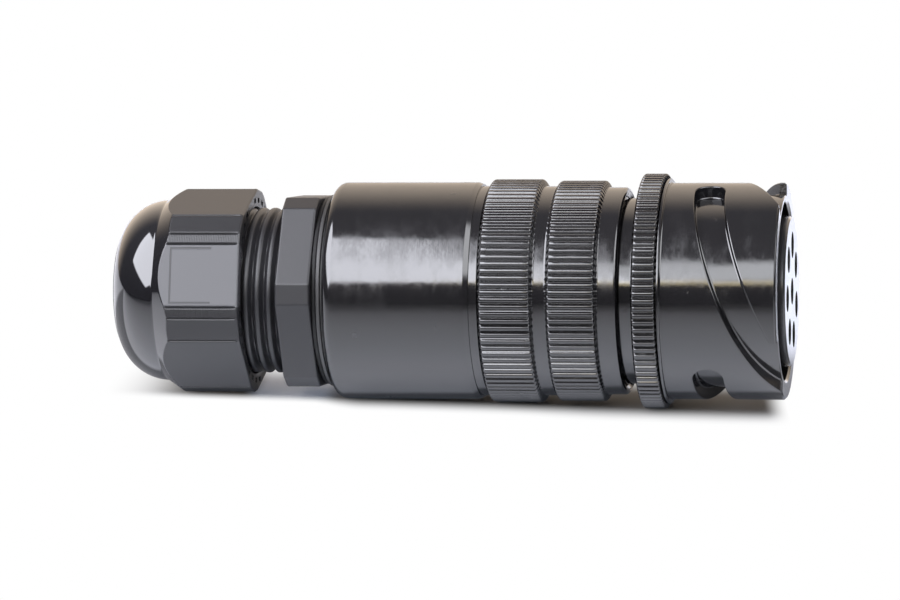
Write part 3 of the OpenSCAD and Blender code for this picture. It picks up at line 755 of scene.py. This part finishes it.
threaded("gland_thread", hex_end - 0.1, gland_rear, 14.5, 1.0, 2.05, 0.12,
         [(gland_rear, 13.3), (gland_rear, 12.4), (gland_rear - 0.1, cage_seat_r),
          (hex_end + 1.0, cage_seat_r), (hex_end + 1.0, 10.5), (hex_end - 0.1, 10.5)],
         GLAND, "backshell", "gland_polyamide", stands_for=("gland_body",))
lathe("gland_entry", [(gland_front, 10.3, 0), (gland_front, 14.1, 0.5), (hex_start, 14.1, 0),
                      (hex_start, 10.3, 0)],
      160, GLAND, "backshell", "gland_polyamide", stands_for=("gland_body",))

# ---------------- cap nut

cap_front, cap_rear, _ = span("cap_nut")
cap_turn = math.radians(-67.3)
pad_half, flat_half, strip = (math.radians(t) for t in (18.5, 21.7, 6.2))
pad_r, cap_flat, corner_r, dome_r, dome_round = 16.75, 16.6, 17.95, 15.9, 8.6
cap_bore_r, mouth_r = 14.65, 9.6
cone_start = cap_front + 12.1
dome_start = cone_start + 3.4
# the cone's radius where it starts, and how fast it narrows
cone_r = corner_r + 0.3
cone_slope = (cone_r - dome_r) / (dome_start - cone_start)
SEAM_W, SEAM_DEPTH, SERRATION = 0.16, 0.34, 0.3
POCKETS = [FULL / 6 * (k + 0.5) + math.radians(t) for k in range(6) for t in (-16.5, -5.5, 5.5, 16.5)]
POCKET_HALF, POCKET_R, POCKET_DEPTH = math.radians(2.7), (15.4, 16.3), 6.0


def cap_finish():
    """Moulded cap nut: polished dome and cone, satin flats, lighter label pads with a plain frame line, and
    cross-cut serrations on the narrow strips. w is the turn from the nearest pad's middle."""
    f = Finish("cap_polyamide", IOR=1.8, Coat_IOR=1.7, Coat_Roughness=0.03)
    a = f.x * -1.0 / MM
    r = f.math("SQRT", f.y * f.y + f.z * f.z) / MM
    w = (f.math("FLOORED_MODULO", f.turn - cap_turn + third / 2, third) - third / 2).abs()
    dome = (r - cone_r + (a - cone_start) * cone_slope).step(-0.05, -0.01)
    satin = 1 - dome
    pad = w.step(pad_half + 0.002, pad_half - 0.004) * satin
    serrated = w.step(pad_half + 0.004, pad_half + 0.010)
    serrated = serrated * w.step(pad_half + strip - 0.004, pad_half + strip - 0.010)
    line = f.math("MAXIMUM", (a - (cap_front + 7.0)).abs() - 5.1, w * pad_r - 4.65).abs().step(0.18, 0.11)
    line = line * a.step(cap_front + 4.9, cap_front + 5.0)
    seam = 0.0
    for at in (pad_half, pad_half + strip, FULL / 6 - flat_half):
        seam = ((w - at).abs() * 17.4).step(0.17, 0.08) + seam
    seam = seam * satin * a.step(cap_front + 0.3, cap_front + 0.5)
    cloud = f.noise(70.0, 4.0, 0.6)
    f.bump(f.noise(2600.0, 3.0, 0.6) * satin, 9e-6)
    f.bump(f.noise(240.0, 2.0, 0.5), 4e-6)
    f.bump((a * (FULL / SERRATION)).sin() * serrated * satin, 1.2e-5)
    f.bump(line * pad, -4e-5)
    tone = pad * (0.68 - line * 0.68) + cloud * 0.16 * satin
    f.colour(tone * (1 - seam), (0.008, 0.008, 0.010), (0.10, 0.102, 0.112))
    f.rough(0.055 + satin * (0.30 + cloud * 0.06) + seam * 0.3)
    f.tree.links.new(dome.socket, f.surface.inputs["Coat Weight"])
    return f.done()


CAP = cap_finish()


def cap_corners():
    """Corner points (turn, radius) of the cap nut's outline, one third repeated: the label pad, a narrow
    serrated strip on each side of it, a wide smooth strip, and the plain flat."""
    one = [(-pad_half, pad_r / math.cos(pad_half)), (pad_half, pad_r / math.cos(pad_half)),
           (pad_half + strip, corner_r), (FULL / 6 - flat_half, cap_flat / math.cos(flat_half)),
           (FULL / 6 + flat_half, cap_flat / math.cos(flat_half)), (third - pad_half - strip, corner_r)]
    return np.array([(k * third + at, r) for k in range(3) for at, r in one])


def polygon_radius(turn, corners):
    """Radius of the straight-sided outline through the corners at each turn."""
    at, r = corners[:, 0], corners[:, 1]
    x, y = r * np.cos(at), r * np.sin(at)
    t = np.mod(turn - at[0], FULL) + at[0]
    k = np.searchsorted(at, t, side="right") - 1
    k2 = (k + 1) % len(at)
    dx, dy = x[k2] - x[k], y[k2] - y[k]
    cross = x[k] * dy - y[k] * dx
    return cross / (np.cos(t) * dy - np.sin(t) * dx)


def turn_from(turn, at):
    """Smallest turn between two directions."""
    return np.abs(np.mod(turn - at + math.pi, FULL) - math.pi)


def cap_columns():
    """Turns of the cap nut's columns: even, denser round each corner, and in pairs at the sides of the
    coring pockets."""
    t = set(np.round(np.radians(np.arange(0, 360, 1.0)), 6))
    for c in cap_corners()[:, 0]:
        t |= set(np.round(np.mod(c + np.radians(np.linspace(-1.2, 1.2, 9)), FULL), 6))
    for c in POCKETS:
        for side in (-1, 1):
            t |= set(np.round(np.mod(c + side * (POCKET_HALF + np.array([0.0, 2e-4])), FULL), 6))
    return np.array(sorted(t))


def cap_rows():
    """The cap nut: the outline blends into a cone and a round dome by taking the smaller radius of the two,
    with seams sunk along the corners and square pockets in its front."""
    t = cap_columns()
    corners = cap_corners()
    outline = sum(polygon_radius(t + d, corners) for d in np.radians([-0.45, -0.15, 0.15, 0.45])) / 4
    groove = sum(SEAM_DEPTH * np.exp(-(turn_from(t, c) * corner_r / SEAM_W) ** 2) for c in corners[:, 0])
    sunk = 1.0 * np.any([turn_from(t, c) <= POCKET_HALF + 1e-5 for c in POCKETS], 0)
    rows = Rows(t)
    inside, outside = POCKET_R
    for a, r in ((0.35, cap_bore_r), (0.1, cap_bore_r + 0.1), (0, cap_bore_r + 0.35), (0, inside - 0.02),
                 (0, inside), (sunk * POCKET_DEPTH, inside), (sunk * POCKET_DEPTH, outside), (0, outside),
                 (0, outside + 0.02)):
        rows.add(cap_front + a, r)
    for a, d in ((0.0, -0.26), (0.03, -0.16), (0.1, -0.07), (0.2, -0.02), (0.3, -0.004), (0.42, 0.0)):
        rows.add(cap_front + a, outline + d)
    for a in np.concatenate([np.linspace(0.7, 10.8, 11), np.linspace(11.0, 15.5, 46)]):
        cone = cone_r - max(cap_front + a - cone_start, 0) * cone_slope
        fade = np.clip((cone - outline + 0.1) / 0.3, 0, 1) * np.clip((a - 0.2) / 0.3, 0, 1)
        rows.add(cap_front + a, smooth_least([outline - groove * fade, cone], 0.03))
    end_turn = math.asin((cap_rear - dome_start) / dome_round)
    for q in np.linspace(0, end_turn, 34)[1:-1]:
        dome = dome_r - dome_round + dome_round * math.cos(q)
        rows.add(dome_start + dome_round * math.sin(q), np.minimum(outline, dome))
    for a, d in ((0.05, 0.3), (0.0, 0.2), (0.05, 0.05), (0.2, 0.0), (2.2, 0.0),
                 (11.44, cap_bore_r - mouth_r)):
        rows.add(cap_rear - a, mouth_r + d)
    for a in (6.5, 0.45):
        rows.add(cap_front + a, cap_bore_r)
    return rows


cap_rows().ring("cap_smooth", cap_turn, CAP, "cap", "cap_polyamide", stands_for=("cap_nut",), sharp=40)

# ---------------- inner pieces

def rounded_copy(node, material, body):
    """The node's own solid with its points merged and its curved faces shaded smooth."""
    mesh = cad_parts[node].data.copy()
    mesh.name = node + "_smooth"
    dress(mesh, material, body, 30, (node,), MERGE_COPY)


for node, material, body, slot in [
        ("socket_insert", INSERT, "front", "insert_polymer"), ("insert_clip", STEEL, "front", "clip_steel"),
        ("rear_grommet", GREY_RUBBER, "front", "grommet_rubber"),
        ("neck_o_ring", RUBBER, "front", "seal_rubber"),
        ("barrel_o_ring", RUBBER, "backshell", "seal_rubber"),
        ("thrust_ring", PALE, "follower", "ring_polymer"), ("clamp_cage", CAGE, "seal", "cage_polyamide"),
        ("seal_bush", RUBBER, "seal", "seal_rubber")]:
    rounded_copy(node, material, body)
for k in range(1, 9):
    rounded_copy(f"socket_{k}", BRASS, "front")

# ---------------- floor, light and camera

def staged(name, points, faces, material):
    """A flat or round sheet for floor or light, which is no part of the object."""
    mesh = bpy.data.meshes.new(name)
    mesh.from_pydata(points, [], faces)
    mesh.materials.append(material)
    obj = bpy.data.objects.new(name, mesh)
    bpy.context.scene.collection.objects.link(obj)
    return obj


# the object lies on its flange and on the barrel's rear end
low_front = Vector((-22.6, 0, -flange_r)) * MM
low_rear = Vector((-77.0, 0, -barrel_r)) * MM
lie = (low_front - low_rear).normalized()
rise = Vector((-lie.z, 0, lie.x))
ground = low_front - rise * 0.00002

AIM = Vector((-60 * MM, 0, 0))
YAW, RISE, ROLL = (math.radians(t) for t in (9.74, 14.0, -2.25))
DISTANCE = 0.90
to_camera = Vector((math.sin(YAW) * math.cos(RISE), -math.cos(YAW) * math.cos(RISE), math.sin(RISE)))
right = Vector((math.cos(YAW), math.sin(YAW), 0))
up = to_camera.cross(right)
if up.z < 0:
    up = -up


# light that the table gives off for every ray but the camera's
TABLE_LIFT = 0.15


def pale_table():
    """A pale table. For the camera it is blended into plain white away from the shadow that lies close to the
    object, and that shadow is deepened by painted shadow in the table's colour, with a small painted glow
    beneath the gland's thread. Other rays see it grow darker towards its front edge, as one over one plus the
    distance, and a painted shadow beneath the object."""
    f = Finish("pale_table", IOR=1.4)
    seen = Sock(f, f.node("ShaderNodeLightPath").outputs["Is Camera Ray"])
    # for other rays: distance in front of the object, and a painted shadow strip beneath it
    ahead = f.math("MAXIMUM", f.y * -1.0 - 0.015, 0.0) / 0.05
    painted_under_shadow = f.y.step(-0.0090, -0.0068) * f.y.step(0.045, 0.025) * (1 - seen)
    glow = 1 / (ahead * (1 - seen) + 1) * (1 - ahead.step(1.6, 5.0) * (1 - seen) * 0.75) * (1 - painted_under_shadow * 0.68)
    # for the camera: painted shadow, darker where the object touches, less so beneath the gland's thread,
    # where a small painted glow is added
    painted_lit_gap = (f.x * -1.0).step(0.0785, 0.083) * f.x.step(-0.097, -0.093)
    painted_contact_shadow = 1 - seen * (1 - (f.y * -1.0).step(0.0, 0.012)) * (0.55 - painted_lit_gap * 0.55)
    f.colour(glow * painted_contact_shadow, (0.0, 0.0, 0.0), (0.84, 0.84, 0.85))
    f.rough(0.6 + f.noise(90.0) * 0.1)
    # the shadow is kept where none of the four sides has faded to white
    reach = 0.0068 + f.x.step(-0.084, -0.074) * 0.0042 + f.x.step(-0.05, -0.03) * 0.0018
    shade = 1.0
    for clear in ((f.y * -1.0 / reach).step(0.15, 1.0), (f.x + f.y * 0.17).step(-0.0045, 0.0),
                  (f.x * -1.0).step(0.104, 0.122), f.y.step(0.006, 0.022)):
        shade = (1 - clear) * shade
    # the table's own glow for other rays, and for the camera a small painted glow beneath the gland's thread
    lift = f.node("ShaderNodeEmission", Color=(0.76, 0.92, 1.22, 1),
                  Strength=glow * (TABLE_LIFT * (1 - seen) + painted_lit_gap * seen * 0.12))
    white = f.node("ShaderNodeEmission", Color=(1, 1, 1, 1), Strength=1.0)
    both = f.node("ShaderNodeAddShader", i0=f.surface.outputs[0], i1=lift.outputs[0])
    far = f.node("ShaderNodeMixShader", i0=shade, i1=white.outputs[0], i2=both.outputs[0])
    last = f.node("ShaderNodeMixShader", i0=seen, i1=both.outputs[0], i2=far.outputs[0])
    f.tree.links.new(last.outputs[0], f.out.inputs["Surface"])
    return f.done()


long, wide = lie * 3, Vector((0, 3, 0))
staged("table", [ground - long - wide, ground + long - wide, ground + long + wide, ground - long + wide],
       [(0, 1, 2, 3)], pale_table())


class Glow(Tree):
    """A light-giving sheet whose brightness follows the direction from the object."""

    def __init__(self, name, sampling="AUTO"):
        self.material = bpy.data.materials.new(name)
        self.material.use_nodes = True
        super().__init__(self.material.node_tree)
        self.material.cycles.emission_sampling = sampling
        self.out = self.node("ShaderNodeOutputMaterial")
        place = self.node("ShaderNodeTexCoord").outputs["Object"]
        away = self.node("ShaderNodeVectorMath", {"operation": "SUBTRACT"}, i0=place, i1=AIM)
        way = self.node("ShaderNodeVectorMath", {"operation": "NORMALIZE"}, i0=away.outputs[0])
        self.way = way.outputs[0]

    def along(self, x, y, z):
        """Share of the direction that lies along (x, y, z)."""
        made = self.node("ShaderNodeVectorMath", {"operation": "DOT_PRODUCT"}, i0=self.way, i1=(x, y, z))
        return Sock(self, made.outputs["Value"])

    def done(self, terms, clear=False):
        """Adds one glow for each (colour, strength) and returns the material. Light passes a clear sheet."""
        total = self.node("ShaderNodeBsdfTransparent").outputs[0] if clear else None
        for colour, strength in terms:
            glow = self.node("ShaderNodeEmission", Color=(*colour, 1), Strength=strength).outputs[0]
            total = glow if total is None else self.node("ShaderNodeAddShader", i0=total, i1=glow).outputs[0]
        self.tree.links.new(total, self.out.inputs["Surface"])
        return self.material


def lit_sheet(name, points, faces, material):
    """A staged sheet round the object that lights it and that the camera doesn't see."""
    staged(name, [list(AIM + Vector(p)) for p in points], faces, material).visible_camera = False


def panel(name, soft, colour, radiance, corners):
    """A flat panel of light through the given directions (in order round it). Its brightness fades over
    the angle soft at each side: the product of a smooth step for each side's plane through the object."""
    ways = [Vector(c).normalized() for c in corners]
    middle = sum(ways, Vector()).normalized()
    glow = Glow(name)
    strength = None
    for k, way in enumerate(ways):
        side = way.cross(ways[(k + 1) % len(ways)]).normalized()
        if side.dot(middle) < 0:
            side = -side
        part = glow.along(*side).step(-soft / 2, soft / 2)
        strength = part if strength is None else strength * part
    points = [w + (w - middle) * (soft / (w - middle).length) for w in ways]
    points = [p * (PANEL_DISTANCE / p.dot(middle)) for p in points]
    lit_sheet(name, points, [tuple(range(len(points)))], glow.done([(colour, strength * radiance)], True))


def tent():
    """A large round tent of dim cloth: dark in front, warm and pale behind, grey overhead."""
    rows, columns, size = 24, 48, 2.2
    polar = np.linspace(0, math.pi, rows + 1)[1:-1]
    turn = np.arange(columns) * FULL / columns
    x = np.sin(polar)[:, None] * np.cos(turn)
    y = np.sin(polar)[:, None] * np.sin(turn)
    z = np.cos(polar)[:, None] + 0 * turn
    points = np.stack([x, y, z], -1).reshape(-1, 3) * size
    points = np.concatenate([points, [[0, 0, size], [0, 0, -size]]])
    n = rows - 1
    faces = []
    for i in range(n - 1):
        for j in range(columns):
            k = (j + 1) % columns
            faces.append((i * columns + j, (i + 1) * columns + j, (i + 1) * columns + k, i * columns + k))
    for j in range(columns):
        k = (j + 1) % columns
        faces.append((n * columns, j, k))
        faces.append((n * columns + 1, (n - 1) * columns + k, (n - 1) * columns + j))
    glow = Glow("tent_cloth", "NONE")
    wall = glow.along(0, 1, 0).step(0.25, 0.92)
    top = glow.along(0, 0, 1).step(0.0, 1.0)
    lit_sheet("tent", points.tolist(), faces,
              glow.done([((1.0, 0.83, 0.66), wall * 1.02), ((0.92, 0.90, 1.0), top * 0.10 + 0.07)]))


PANEL_DISTANCE = 1.2
for name, soft, colour, radiance, corners in [
        ("softbox", 0.04, (0.93, 0.94, 1.02), 4.4,
         [(-0.095, -0.92, 0.40), (-0.48, -0.83, 0.26), (-0.85, -0.15, 0.48), (-0.44, 0.10, 0.87),
          (-0.168, -0.36, 0.92)]),
        ("side_softbox", 0.13, (0.93, 0.95, 1.0), 2.8,
         [(-0.105, -0.91, 0.43), (0.08, -0.90, 0.43), (0.08, -0.71, 0.70), (-0.125, -0.70, 0.71)]),
        ("right_softbox", 0.16, (0.95, 0.96, 1.0), 2.4,
         [(0.12, -0.89, 0.43), (0.95, -0.22, 0.28), (0.86, 0.05, 0.50), (0.44, 0.08, 0.89),
          (0.16, -0.55, 0.80)]),
        ("warm_strip", 0.03, (1.0, 0.85, 0.52), 1.9,
         [(-0.14, -0.93, 0.345), (0.30, -0.90, 0.345), (0.30, -0.87, 0.43), (-0.14, -0.90, 0.43)])]:
    panel(name, soft, colour, radiance, corners)
tent()

world = bpy.context.scene.world or bpy.data.worlds.new("studio")
bpy.context.scene.world = world
world.use_nodes = True
sky = Tree(world.node_tree)
white = sky.node("ShaderNodeBackground", Color=(1, 1, 1, 1), Strength=1.0)
world.node_tree.links.new(white.outputs[0], sky.node("ShaderNodeOutputWorld").inputs["Surface"])

camera = bpy.data.cameras.new("view")
camera.sensor_width = 36.0
camera.lens = 205.64
camera.shift_x, camera.shift_y = 0.0060, -0.0106
camera.dof.use_dof = False
camera.clip_start, camera.clip_end = 0.05, 20
eye = bpy.data.objects.new("view", camera)
across = right * math.cos(ROLL) + up * math.sin(ROLL)
upright = up * math.cos(ROLL) - right * math.sin(ROLL)
facing = Matrix((across, upright, to_camera)).transposed().to_4x4()
eye.matrix_world = Matrix.Translation(AIM + to_camera * DISTANCE) @ facing
bpy.context.scene.collection.objects.link(eye)
bpy.context.scene.camera = eye
bpy.context.scene.view_settings.view_transform = "Standard"
